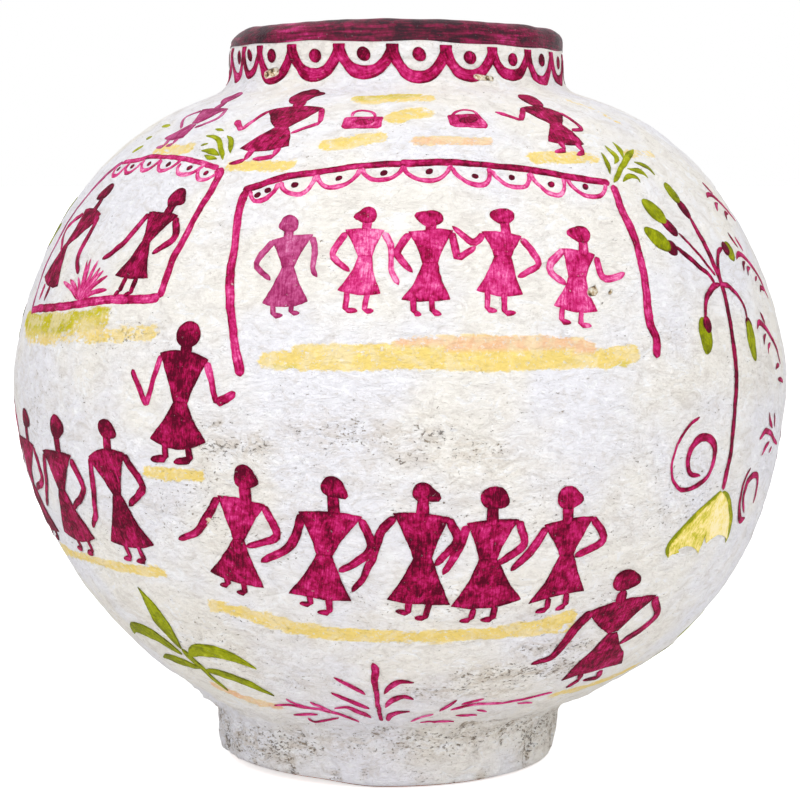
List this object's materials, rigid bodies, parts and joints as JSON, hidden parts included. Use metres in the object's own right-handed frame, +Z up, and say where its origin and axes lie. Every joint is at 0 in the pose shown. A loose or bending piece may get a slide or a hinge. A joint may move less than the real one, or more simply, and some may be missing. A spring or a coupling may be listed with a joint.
{
  "type": "painted earthenware water jar",
  "caption": "Round-bodied terracotta water jar with a foot ring, short wide neck, rolled painted lip and a thick white ground over thrown sections luted with clay coils.",
  "frame": {"origin": "middle of the foot ring's underside, on the table", "axes": "+Z up along the jar's axis of revolution and out of the mouth, -Y towards the pictured side"},
  "size_m": [0.35, 0.3498, 0.3322],
  "materials": {
    "terracotta": "matt low-fired clay",
    "slip_clay": "matt smeared slip clay",
    "white_ground": "matt brushed chalk ground",
    "lip_paint": "satin paint over chalk ground"
  },
  "bodies": {
    "root": {"foot_ring": "terracotta", "lower_bowl": "terracotta", "shoulder_dome": "terracotta", "neck_collar": "terracotta", "lip_roll": "terracotta", "foot_joint_coil": "slip_clay", "foot_joint_inner_coil": "slip_clay", "belly_joint_coil": "slip_clay", "neck_joint_coil": "slip_clay", "neck_joint_inner_coil": "slip_clay", "white_ground": "white_ground", "lip_paint": "lip_paint"}
  },
  "joints": []
}
